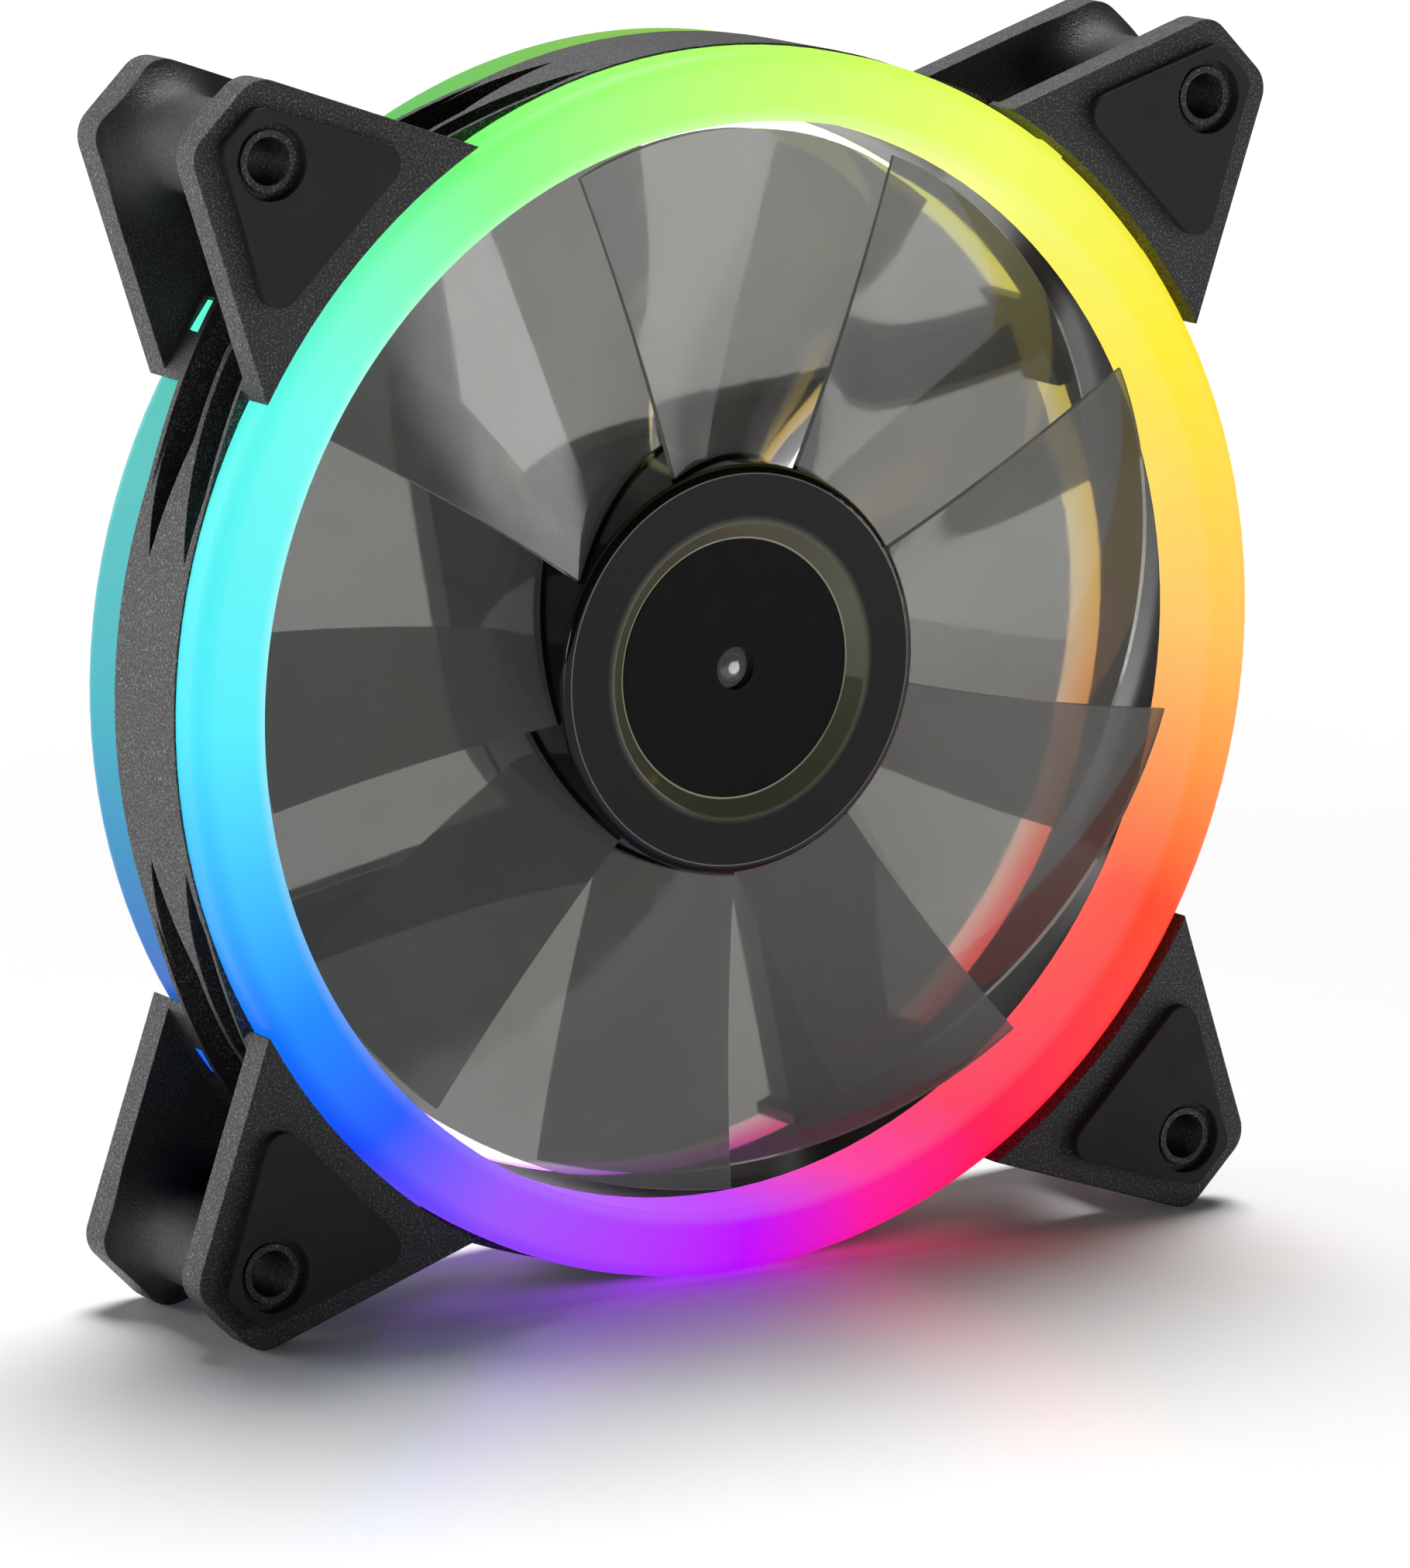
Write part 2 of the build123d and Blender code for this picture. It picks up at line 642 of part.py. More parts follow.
# ================================================================ ring lights
for name, board_back, led_back in (
    ("front", BELT_FRONT, BELT_FRONT - LED_BOARD_THICK),
    ("rear", BELT_BACK + LED_BOARD_THICK, BELT_BACK + LED_BOARD_THICK + LED_HEIGHT),
):
    led_board = washer(
        LED_BOARD_OUTER_R,
        LED_BOARD_INNER_R,
        board_back - LED_BOARD_THICK,
        board_back,
    )
    save(led_board, f"{name}_led_board")
    with BuildPart() as leds:
        with BuildSketch(layer(led_back)):
            with PolarLocations((LED_BOARD_INNER_R + LED_BOARD_OUTER_R) / 2, LED_COUNT):
                Rectangle(LED_WIDTH, LED_LENGTH)
        extrude(amount=LED_HEIGHT)
    save(leds.part, f"{name}_leds")

# ================================================================ motor, standing parts
save(washer(SLEEVE_R, SLEEVE_BORE_R, SLEEVE_FRONT, SLEEVE_BACK), "bearing_sleeve")
save(washer(SLEEVE_R, SEAL_BORE_R, SLEEVE_FRONT - SEAL_THICK, SLEEVE_FRONT), "oil_seal")

with BuildPart() as thrust_pad:
    with BuildSketch(layer(THRUST_PAD_BACK)):
        Circle(THRUST_PAD_R)
    extrude(amount=THRUST_PAD_BACK - THRUST_PAD_FRONT)
save(thrust_pad.part, "thrust_pad")

with BuildPart() as stator_core:
    with BuildSketch(layer(CORE_BACK)):
        Circle(CORE_R)
        Circle(CORE_SHOE_R, mode=Mode.SUBTRACT)
        with PolarLocations(CORE_R, POLE_COUNT, start_angle=45):
            Rectangle(CORE_R, CORE_GAP, mode=Mode.SUBTRACT)
        for angle in (0, 90):
            with Locations(turned(angle)):
                Rectangle(2 * (CORE_SHOE_R + OVERLAP), CORE_ARM)
        Circle(CORE_HUB_R)
        Circle(CORE_BORE_R, mode=Mode.SUBTRACT)
    extrude(amount=CORE_BACK - CORE_FRONT)
save(stator_core.part, "stator_core")

for name, back in (("front", CORE_FRONT), ("rear", CORE_BACK + INSULATOR_THICK)):
    with BuildPart() as insulator:
        with BuildSketch(layer(back)):
            for angle in (0, 90):
                with Locations(turned(angle)):
                    Rectangle(2 * INSULATOR_REACH, INSULATOR_ARM)
            Circle(INSULATOR_HUB_R)
            Circle(CORE_BORE_R, mode=Mode.SUBTRACT)
        extrude(amount=INSULATOR_THICK)
    save(insulator.part, f"insulator_{name}")

# Coils stand round the arms; each is drawn looking out along its arm.
with BuildPart() as coil:
    with BuildSketch(Plane(origin=(COIL_INNER_AT, 0, 0), x_dir=(0, 1, 0), z_dir=(1, 0, 0))):
        with Locations(((COIL_FRONT + COIL_BACK) / 2, 0)):
            RectangleRounded(COIL_BACK - COIL_FRONT, COIL_WIDTH, COIL_FILLET)
        window_front = CORE_FRONT - INSULATOR_THICK - COIL_WINDOW_GAP
        window_back = CORE_BACK + INSULATOR_THICK + COIL_WINDOW_GAP
        with Locations(((window_front + window_back) / 2, 0)):
            Rectangle(window_back - window_front, COIL_WINDOW, mode=Mode.SUBTRACT)
    extrude(amount=COIL_OUTER_AT - COIL_INNER_AT)

for number, turn in enumerate(QUARTER_TURNS, start=1):
    with BuildPart() as placed_coil:
        with Locations(turn):
            add(coil.part)
    save(placed_coil.part, f"coil_{number}")

save(washer(BOARD_R, BOARD_BORE_R, BOARD_FRONT, BOARD_BACK), "motor_board")

for name, angle, (length, width, height) in (
    ("driver_chip", 45, CHIP_SIZE),
    ("hall_sensor", 135, HALL_SIZE),
    ("filter_capacitor", 225, CAPACITOR_SIZE),
):
    with BuildPart() as component:
        with BuildSketch(layer(BOARD_FRONT)):
            with Locations((COMPONENT_AT * cos(radians(angle)), COMPONENT_AT * sin(radians(angle)))):
                Rectangle(length, width)
        extrude(amount=height)
    save(component.part, name)

with BuildPart() as lead_wires:
    for number in range(WIRE_COUNT):
        across = WIRE_FIRST + WIRE_PITCH * number
        with BuildSketch(STRUT_SECTION.offset(WIRE_START)):
            with Locations((across, -WIRE_DEPTH)):
                Circle(WIRE_R)
        extrude(amount=WIRE_END - WIRE_START)
with BuildPart() as placed_wires:
    with Locations(QUARTER_TURNS[1]):
        add(lead_wires.part)
save(placed_wires.part, "lead_wires")

with BuildPart() as rear_label:
    with BuildSketch(layer(STRUT_BACK - LABEL_RECESS + REAR_LABEL_THICK)):
        Circle(REAR_LABEL_R)
    extrude(amount=REAR_LABEL_THICK)
save(rear_label.part, "rear_label")


# ================================================================ rotor
def blade_section(station):
    """Blade section across the radius at one distance from the axis."""
    fraction = (station - HUB_R) / (BLADE_TIP_R - HUB_R)
    half_chord = ROOT_HALF_CHORD + (TIP_HALF_CHORD - ROOT_HALF_CHORD) * fraction
    sweep = TIP_SWEEP * fraction * fraction
    thickness = ROOT_THICK + (TIP_THICK - ROOT_THICK) * fraction
    drop = BLADE_TRAIL - BLADE_LEAD
    front_side = []
    back_side = []
    for step, share in THICKNESS_STEPS:
        across = half_chord * (1 - 2 * step) + sweep
        depth = BLADE_LEAD + drop * ((1 - CAMBER) * step + CAMBER * step * step)
        slope = Vector(-2 * half_chord, drop * (1 - CAMBER + 2 * CAMBER * step)).normalized()
        offset = Vector(-slope.Y, slope.X) * (thickness * share / 2)
        front_side.append((across + offset.X, depth + offset.Y))
        back_side.append((across - offset.X, depth - offset.Y))
    with BuildSketch(Plane(origin=(station, 0, 0), x_dir=(0, 0, 1), z_dir=(-1, 0, 0))) as section:
        with BuildLine():
            Spline(*front_side)
            Line(front_side[-1], back_side[-1])
            Spline(*back_side[::-1])
            Line(back_side[0], front_side[0])
        make_face()
    return section.sketch


with BuildPart() as blade:
    loft(sections=[blade_section(station) for station in BLADE_STATIONS])
    with BuildSketch(layer(HUB_BACK)):
        Circle(BLADE_TIP_R)
        Circle(BLADE_ROOT_R, mode=Mode.SUBTRACT)
    extrude(amount=HUB_BACK - HUB_FRONT, mode=Mode.INTERSECT)

with BuildPart() as impeller:
    with BuildSketch(Plane.XY) as hub_profile:
        Polygon(
            (0, DIMPLE_FLOOR),
            (DIMPLE_R, DIMPLE_FLOOR),
            (DIMPLE_R, DISH_FLOOR),
            (DISH_INNER_R, DISH_FLOOR),
            (DISH_OUTER_R, HUB_FRONT),
            (HUB_R, HUB_FRONT),
            (HUB_R, HUB_BACK),
            (HUB_BORE_R, HUB_BACK),
            (HUB_BORE_R, HUB_PLATE_BACK),
            (0, HUB_PLATE_BACK),
            align=None,
        )
        rim = hub_profile.vertices().sort_by_distance((HUB_R, HUB_FRONT))[0]
        fillet(rim, HUB_RIM_FILLET)
        dish = hub_profile.vertices().sort_by_distance((DISH_OUTER_R, HUB_FRONT))[0]
        fillet(dish, DISH_FILLET)
    revolve(axis=Axis.Y)
    with BuildSketch(Plane.XY):
        with BuildLine():
            Line((0, DIMPLE_FLOOR + GATE_ROOT), (0, DIMPLE_FLOOR - GATE_RISE))
            ThreePointArc(
                (0, DIMPLE_FLOOR - GATE_RISE),
                (GATE_R * 0.7, DIMPLE_FLOOR - GATE_RISE * 0.55),
                (GATE_R, DIMPLE_FLOOR),
            )
            Line((GATE_R, DIMPLE_FLOOR), (GATE_R, DIMPLE_FLOOR + GATE_ROOT))
            Line((GATE_R, DIMPLE_FLOOR + GATE_ROOT), (0, DIMPLE_FLOOR + GATE_ROOT))
        make_face()
    revolve(axis=Axis.Y)
    with Locations(*[
        Location((0, 0, 0), (0, 360 / BLADE_COUNT * number, 0)) for number in range(BLADE_COUNT)
    ]):
        add(blade.part)
save(impeller.part, "impeller")

save(washer(HUB_LABEL_R, DIMPLE_R, DISH_FLOOR - HUB_LABEL_THICK, DISH_FLOOR), "hub_label")

with BuildPart() as rotor_yoke:
    with BuildSketch(Plane.XY) as yoke_profile:
        Polygon(
            (YOKE_BORE_R, YOKE_FRONT),
            (YOKE_R, YOKE_FRONT),
            (YOKE_R, YOKE_BACK),
            (YOKE_WALL_R, YOKE_BACK),
            (YOKE_WALL_R, YOKE_PLATE_BACK),
            (YOKE_COLLAR_R, YOKE_PLATE_BACK),
            (YOKE_COLLAR_R, YOKE_COLLAR_BACK),
            (YOKE_BORE_R, YOKE_COLLAR_BACK),
            align=None,
        )
        fillet(yoke_profile.vertices().sort_by_distance((YOKE_R, YOKE_FRONT))[0], YOKE_FILLET)
    revolve(axis=Axis.Y)
save(rotor_yoke.part, "rotor_yoke")

save(washer(MAGNET_R, MAGNET_BORE_R, MAGNET_FRONT, MAGNET_BACK), "magnet_ring")

with BuildPart() as shaft:
    with BuildSketch(layer(SHAFT_BACK)):
        Circle(SHAFT_R)
    extrude(amount=SHAFT_BACK - SHAFT_FRONT)
    chamfer(shaft.edges().filter_by(GeomType.CIRCLE), SHAFT_CHAMFER)
    with BuildSketch(layer(GROOVE_BACK)):
        Circle(SHAFT_R + OVERLAP)
        Circle(GROOVE_R, mode=Mode.SUBTRACT)
    extrude(amount=GROOVE_BACK - GROOVE_FRONT, mode=Mode.SUBTRACT)
save(shaft.part, "shaft")

with BuildPart() as shaft_clip:
    with BuildSketch(layer((GROOVE_FRONT + GROOVE_BACK + CLIP_THICK) / 2)):
        Circle(CLIP_R)
        Circle(CLIP_BORE_R, mode=Mode.SUBTRACT)
        with Locations((CLIP_R, 0)):
            Rectangle(2 * CLIP_R, CLIP_SLOT, mode=Mode.SUBTRACT)
    extrude(amount=CLIP_THICK)
save(shaft_clip.part, "shaft_clip")

save(washer(WASHER_R, WASHER_BORE_R, WASHER_FRONT, WASHER_BACK), "shaft_washer")
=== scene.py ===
"""Case fan with two lit rings: camera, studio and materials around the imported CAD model.

Metres, in the CAD frame: X to the right, Z up, the spin axis along Y and the intake
face towards -Y. Colours are written as sRGB values from 0 to 255.
"""

from colorsys import hsv_to_rgb
from math import cos, radians, sin

import bpy
from mathutils import Matrix, Vector


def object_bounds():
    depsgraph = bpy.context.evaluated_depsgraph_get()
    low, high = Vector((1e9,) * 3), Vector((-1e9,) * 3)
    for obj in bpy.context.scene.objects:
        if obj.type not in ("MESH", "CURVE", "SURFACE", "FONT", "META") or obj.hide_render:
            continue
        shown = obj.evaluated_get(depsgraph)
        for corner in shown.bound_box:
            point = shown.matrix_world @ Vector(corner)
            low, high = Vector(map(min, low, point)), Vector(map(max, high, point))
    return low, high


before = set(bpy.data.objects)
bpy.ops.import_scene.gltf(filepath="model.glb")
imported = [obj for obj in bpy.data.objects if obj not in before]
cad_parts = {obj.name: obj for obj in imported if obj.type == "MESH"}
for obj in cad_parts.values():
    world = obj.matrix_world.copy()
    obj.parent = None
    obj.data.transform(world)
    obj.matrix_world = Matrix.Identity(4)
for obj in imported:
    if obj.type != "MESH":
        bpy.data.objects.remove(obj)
cad_low, cad_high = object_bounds()

# ---------------------------------------------------------------- camera
CAMERA_TURN = radians(32.29)        # to the fan's left of its axis
CAMERA_RISE = radians(11.58)        # above the horizon
CAMERA_ROLL = radians(0.43)
CAMERA_DISTANCE = 0.797
CAMERA_AIM = Vector((0.0026, 0.0, -0.0133))
SENSOR_WIDTH = 36.0
FOCAL_LENGTH = 208.4

# ---------------------------------------------------------------- studio
FLOOR_SIZE = 12.0
FLOOR_HEIGHT = cad_low.z
FLOOR_PAPER = ((246, 246, 246), (250, 250, 250))
SWEEP_DISTANCES = (0.15, 0.60)      # from the fan: here the floor starts and ends its rise to white
SWEEP_GLOW = 0.3
WHITE = (255, 255, 255)
DOME_GLOW = 0.03                    # faint light from every side
ONE_BOUNCE = 0.5                    # a ray with fewer diffuse bounces than this has had none
# Soft lights of the dome: direction, full inside this angle, none outside this angle, radiance.
DOME_LIGHTS = (
    ((0.22, 0.30, 0.92), radians(8), radians(20), 18.5),       # overhead, a little behind
    ((-0.70, 0.70, 0.12), radians(12), radians(28), 4.7),      # key from the back left
    ((0.00, 1.00, 0.12), radians(12), radians(28), 2.1),       # wall behind
    ((-0.88, -0.42, 0.12), radians(3), radians(8), 10.5),      # narrow strip at the front left
    ((0.82, -0.56, 0.12), radians(6), radians(13), 4.2),       # softbox at the front right
)

# ---------------------------------------------------------------- places on the fan
DUCT_RADIUS = 0.0530
RING_OUTER_RADIUS = 0.0598
HUB_RADIUS = 0.0202
RIM_RADIUS = 0.0191
DISH_RADIUS = 0.01435
LABEL_RADIUS = 0.01272
DIMPLE_RADIUS = 0.0021
GATE_RADIUS = 0.0013
# painted highlight: the bright spot in the middle of the gate has this radius
GLINT_RADIUS = 0.0005
FORK_RADIUS = 0.0606                # the open forks of the ears lie beyond this radius
FORK_HALF_DEPTH = 0.0079            # and between these depths
RIM_HIGHLIGHT_HALF_WIDTH = 0.0001                   # half widths of the painted highlight lines on the hub: at the rim and at the label's edge
LABEL_HIGHLIGHT_HALF_WIDTH = 0.00015

# Radii or depths between which one look changes into the next, from the first to the second.
DUCT_TO_OUTSIDE = (DUCT_RADIUS + 0.0002, DUCT_RADIUS + 0.0006)
FORK_DEPTHS = (FORK_HALF_DEPTH + 0.0001, FORK_HALF_DEPTH - 0.0001)
FORK_RADII = (FORK_RADIUS, FORK_RADIUS + 0.0004)
FACE_TO_GLARE = (DUCT_RADIUS + 0.0016, DUCT_RADIUS + 0.0002)
FACE_TO_INNER_WALL = (DUCT_RADIUS + 0.0006, DUCT_RADIUS + 0.0003)
FACE_TO_EDGE = (RING_OUTER_RADIUS - 0.0020, RING_OUTER_RADIUS - 0.0002)
FACE_TO_OUTER_WALL = (RING_OUTER_RADIUS - 0.0009, RING_OUTER_RADIUS - 0.0001)
OUTER_WALL_TO_TABS = (RING_OUTER_RADIUS + 0.0003, RING_OUTER_RADIUS + 0.0006)
HUB_TO_BLADES = (HUB_RADIUS, HUB_RADIUS + 0.0004)
HUB_TO_DISH = (DISH_RADIUS + 0.0008, DISH_RADIUS - 0.0002)
DISH_TO_DIMPLE = (DIMPLE_RADIUS + 0.0001, DIMPLE_RADIUS)
DIMPLE_TO_GATE = (GATE_RADIUS + 0.0001, GATE_RADIUS)
GATE_TO_GLINT = (GLINT_RADIUS + 0.0002, GLINT_RADIUS)

# ---------------------------------------------------------------- ring colours
CLOCK_HOURS = 12
# The ring as a clock face seen from the front: hour, hue in degrees, saturation, all at full brightness.
# The hours run anticlockwise from three, as the angle round the axis does.
RING_HOURS = (
    (3, 40, 0.65),      # amber
    (2, 55, 0.80),      # yellow
    (1, 65, 0.60),      # lemon
    (12, 85, 0.55),     # lime
    (11, 120, 0.45),    # green
    (10, 175, 0.55),    # aqua
    (9, 185, 0.65),     # cyan
    (8, 210, 0.90),     # azure
    (7.5, 225, 0.85),   # blue
    (7, 265, 0.65),     # violet
    (6, 285, 0.95),     # purple
    (5.5, 325, 0.90),   # pink
    (5, 345, 0.90),     # crimson
    (4, 10, 0.85),      # vermilion
)
GLARE_ANGLE = radians(140)          # painted glare: the face pales most at this angle round the ring
WARM_WHITE = (255, 250, 236)
FULL_GLOW = 0.97
UNLIT_DARKNESS = 0.97               # how little of its colour the ring shows without its light
EDGE_DEPTH = 0.4                    # how far the colour deepens at the outer edge
LIP_PALING = 0.5                    # how far the inner wall pales
REAR_PALING = (0.0064, 0.0120)      # depths between which the rear ring's inner wall pales
NO_PALING = (-0.0125, -0.0300)      # depths in front of the front ring, so its wall keeps its colour

# ---------------------------------------------------------------- noises and reliefs
# Noises of the materials: scale, detail, roughness.
FRAME_GRAIN = (4300.0, 3.0, 0.7)
FRAME_PATCHES = (700.0, 2.0)
FRAME_CLOUDS = (90.0, 3.0)
PAD_CLOUDS = (220.0, 4.0)
PAD_GRAIN = (6000.0, 2.0)
RING_RIPPLE = (900.0, 2.0)
SMOKE_STREAKS = (60.0, 3.0)
SMOKE_WEAR = (300.0, 2.0)
PLAIN_CLOUDS = (400.0, 4.0)
PLAIN_GRAIN = (3200.0, 2.0)
FLOOR_CLOUDS = (30.0, 3.0)
# Heights of the reliefs in metres, and the rounding of the frame's edges.
GRAIN_HEIGHT = 0.00012
FINE_HEIGHT = 0.00003
RIPPLE_HEIGHT = 0.00002
EDGE_ROUNDING = 0.0002

# ---------------------------------------------------------------- shares and optics
FORK_SHADE_FLECKS = 0.12                  # share of the flecks left inside the ear forks, which darkens them as painted shade
DUCT_RELIEF = 0.1                   # share of the grain's relief left in the duct
DUCT_ROUGHNESS = 0.32
GRAIN_BRIGHT = (0.52, 0.66)         # grain values between which a fleck appears
CLOUD_RANGE = (0.3, 0.7)            # values that most of a cloudy noise lies between
PLAIN_ROUGHNESS_SPREAD = 0.12
BLADE_CLARITY = 0.9                 # share of light that goes through
BLADE_PAINTED_GLOW = 0.017                  # painted glow: the blades give off this faint light themselves, which lifts their tone
SMOKE_IOR = 1.46

# ---------------------------------------------------------------- plain materials
# Name, darker tone, lighter tone, roughness, metallic and specular level.
PLAIN_MATERIALS = (
    ("matt_label", (22, 22, 22), (27, 27, 27), 0.6, 0.0, 0.08),
    ("plated_steel", (150, 146, 118), (172, 168, 140), 0.25, 1.0, 0.5),
    ("ground_steel", (170, 170, 172), (196, 196, 198), 0.22, 1.0, 0.5),
    ("core_steel", (120, 120, 124), (150, 150, 154), 0.4, 1.0, 0.5),
    ("sintered_bronze", (166, 124, 78), (190, 148, 98), 0.45, 1.0, 0.5),
    ("copper_wire", (176, 104, 62), (204, 128, 80), 0.35, 1.0, 0.5),
    ("magnet", (58, 55, 52), (74, 70, 66), 0.6, 0.0, 0.5),
    ("board", (14, 40, 24), (24, 58, 34), 0.4, 0.0, 0.5),
    ("led_body", (220, 220, 205), (240, 240, 228), 0.35, 0.0, 0.5),
    ("chip_body", (26, 26, 27), (38, 38, 40), 0.5, 0.0, 0.5),
    ("capacitor_body", (120, 84, 48), (146, 106, 64), 0.5, 0.0, 0.5),
    ("insulator", (196, 190, 170), (214, 208, 190), 0.5, 0.0, 0.5),
    ("nylon", (205, 200, 188), (222, 218, 206), 0.5, 0.0, 0.5),
    ("wire_sheath", (26, 26, 27), (36, 36, 37), 0.45, 0.0, 0.5),
)
# The nodes that wear each plain material.
PLAIN_WEARERS = {
    "matt_label": ("hub_label", "rear_label"),
    "plated_steel": ("rotor_yoke",),
    "ground_steel": ("shaft", "shaft_clip"),
    "core_steel": ("stator_core",),
    "sintered_bronze": ("bearing_sleeve",),
    "copper_wire": ("coil_1", "coil_2", "coil_3", "coil_4"),
    "magnet": ("magnet_ring",),
    "board": ("motor_board", "front_led_board", "rear_led_board"),
    "led_body": ("front_leds", "rear_leds"),
    "chip_body": ("driver_chip", "hall_sensor"),
    "capacitor_body": ("filter_capacitor",),
    "insulator": ("insulator_front", "insulator_rear"),
    "nylon": ("shaft_washer", "thrust_pad", "oil_seal"),
    "wire_sheath": ("lead_wires",),
}


def linear(colour):
    """Linear colour, with alpha, of an sRGB colour given from 0 to 255."""
    channels = []
    for value in colour:
        share = value / 255
        channels.append(share / 12.92 if share <= 0.04045 else ((share + 0.055) / 1.055) ** 2.4)
    return (*channels, 1.0)


# ================================================================ node helpers
class Nodes:
    """One node tree, with short calls for its nodes."""

    def __init__(self, tree):
        self.tree = tree

    def node(self, kind, settings=None, **inputs):
        """A node with its settings and inputs; an input may be a value or another output."""
        made = self.tree.nodes.new("ShaderNode" + kind)
        for key, value in (settings or {}).items():
            setattr(made, key, value)
        for key, value in inputs.items():
            socket = made.inputs[int(key[2:])] if key.startswith("in") else made.inputs[key]
            self.put(socket, value)
        return made

    def put(self, socket, value):
        """Link or set one input."""
        if isinstance(value, bpy.types.NodeSocket):
            self.tree.links.new(value, socket)
        else:
            socket.default_value = value

    def maths(self, operation, first, second=0.0):
        """Result of one sum on two numbers, or on one."""
        return self.node("Math", {"operation": operation}, in0=first, in1=second).outputs[0]

    def smooth(self, value, low, high, bottom=0.0, top=1.0):
        """Bottom at low and top at high, with a smooth step between."""
        settings = {"interpolation_type": "SMOOTHSTEP", "clamp": True}
        made = self.node("MapRange", settings, Value=value)
        for key, number in zip(("From Min", "From Max", "To Min", "To Max"), (low, high, bottom, top)):
            made.inputs[key].default_value = number
        return made.outputs[0]

    def mix(self, share, first, second, blend="MIX"):
        """Colour mix."""
        made = self.node("Mix", {"data_type": "RGBA", "blend_type": blend})
        self.put(made.inputs[0], share)
        self.put(made.inputs[6], first)
        self.put(made.inputs[7], second)
        return made.outputs[2]

    def two_tone(self, share, dark, light):
        """Mix of two sRGB colours."""
        return self.mix(share, linear(dark), linear(light))

    def place(self):
        """Position in the fan's own frame."""
        return self.node("TexCoord").outputs["Object"]

    def noise(self, scale, detail, roughness=0.5):
        """Cloudy value from 0 to 1, mostly near a half."""
        made = self.node("TexNoise", Vector=self.place(), Scale=scale, Detail=detail)
        made.inputs["Roughness"].default_value = roughness
        return made.outputs["Fac"]

    def round_axis(self):
        """Radius from the spin axis, angle about it from -pi to pi, and depth."""
        split = self.node("SeparateXYZ", Vector=self.place())
        x, y, z = split.outputs
        square = self.maths("ADD", self.maths("MULTIPLY", x, x), self.maths("MULTIPLY", z, z))
        return self.maths("SQRT", square), self.maths("ARCTAN2", z, x), y

    def mix_numbers(self, share, first, second):
        """Number between two others."""
        return self.node("Mix", {"data_type": "FLOAT"}, in0=share, in2=first, in3=second).outputs[0]

    def band(self, value, middle, half_width):
        """One near the middle, falling smoothly to nothing at the half width."""
        distance = self.maths("ABSOLUTE", self.maths("SUBTRACT", value, middle))
        return self.smooth(distance, half_width, 0.0)


class Surface(Nodes):
    """One material on a Principled shader."""

    def __init__(self, name):
        self.material = bpy.data.materials.new(name)
        self.material.use_nodes = True
        super().__init__(self.material.node_tree)
        self.shader = self.tree.nodes["Principled BSDF"]

    def set(self, **values):
        """Shader inputs, named as on the shader with _ for a space."""
        for key, value in values.items():
            self.put(self.shader.inputs[key.replace("_", " ")], value)

    def bump(self, height, strength, distance, normal=None):
        """Fine relief on the surface, or on a normal that is already changed."""
        made = self.node("Bump", Height=height, Strength=strength, Distance=distance)
        if normal is not None:
            self.put(made.inputs["Normal"], normal)
        self.set(Normal=made.outputs[0])


def dress(material, *names):
    """Give CAD nodes a material."""
    for name in names:
        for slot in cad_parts[name].material_slots:
            slot.material = material


# ================================================================ materials
def frame_plastic():
    """Black spark-eroded plastic: bright grains outside, satin in the duct; most grains are left out in the
    ear forks as painted shade.
    """
    s = Surface("frame_plastic")
    radius, _, depth = s.round_axis()
    outside = s.smooth(radius, *DUCT_TO_OUTSIDE)
    fork_shade = s.smooth(s.maths("ABSOLUTE", depth), *FORK_DEPTHS)
    fork_shade = s.maths("MULTIPLY", fork_shade, s.smooth(radius, *FORK_RADII))
    grain = s.noise(*FRAME_GRAIN)
    patch = s.noise(*FRAME_PATCHES)
    cloud = s.noise(*FRAME_CLOUDS)
    duct = s.two_tone(cloud, (24, 22, 20), (34, 31, 28))
    dark = s.two_tone(cloud, (13, 13, 14), (19, 19, 20))
    fleck = s.maths("MULTIPLY", s.smooth(grain, *GRAIN_BRIGHT), s.smooth(patch, 0.25, 0.75, 0.6, 1.0))
    # painted shade: between the ear flanges only a few bright flecks stay, so the forks read darker
    fleck = s.maths("MULTIPLY", fleck, s.mix_numbers(fork_shade, 1.0, FORK_SHADE_FLECKS))
    skin = s.mix(fleck, dark, linear((108, 109, 110)))
    s.set(Base_Color=s.mix(outside, duct, skin))
    s.set(Roughness=s.mix_numbers(outside, DUCT_ROUGHNESS, s.smooth(grain, 0.4, 0.65, 0.6, 0.36)))
    s.set(Specular_IOR_Level=0.5)
    rounded = s.node("Bevel", {"samples": 4}, Radius=EDGE_ROUNDING).outputs[0]
    s.bump(grain, s.mix_numbers(outside, DUCT_RELIEF, 1.0), GRAIN_HEIGHT, rounded)
    return s.material


def pad_rubber():
    """Smooth matt black rubber."""
    s = Surface("pad_rubber")
    cloud = s.noise(*PAD_CLOUDS)
    s.set(Base_Color=s.two_tone(cloud, (27, 27, 27), (35, 35, 35)))
    s.set(Roughness=s.smooth(cloud, *CLOUD_RANGE, 0.62, 0.74))
    s.set(Specular_IOR_Level=0.27)
    s.bump(s.noise(*PAD_GRAIN), 0.25, FINE_HEIGHT)
    return s.material


def colour_wheel(s, angle):
    """Colour of the ring light at an angle round the axis."""
    turn = s.maths("FRACT", s.maths("ADD", s.maths("DIVIDE", angle, radians(360)), 1.0))
    ramp = s.node("ValToRGB", Fac=turn)
    stops = ramp.color_ramp.elements
    while len(stops) > 1:
        stops.remove(stops[0])
    stops[0].position = 0.0
    first_hour = RING_HOURS[0][0]
    for hour, hue, saturation in RING_HOURS:
        channels = hsv_to_rgb(hue / 360, saturation, 1.0)
        turned = (first_hour - hour) / CLOCK_HOURS % 1
        stop = stops[0] if turned == 0 else stops.new(turned)
        stop.color = linear([255 * channel for channel in channels])
    stops.new(1.0).color = tuple(stops[0].color)
    return ramp.outputs["Color"]


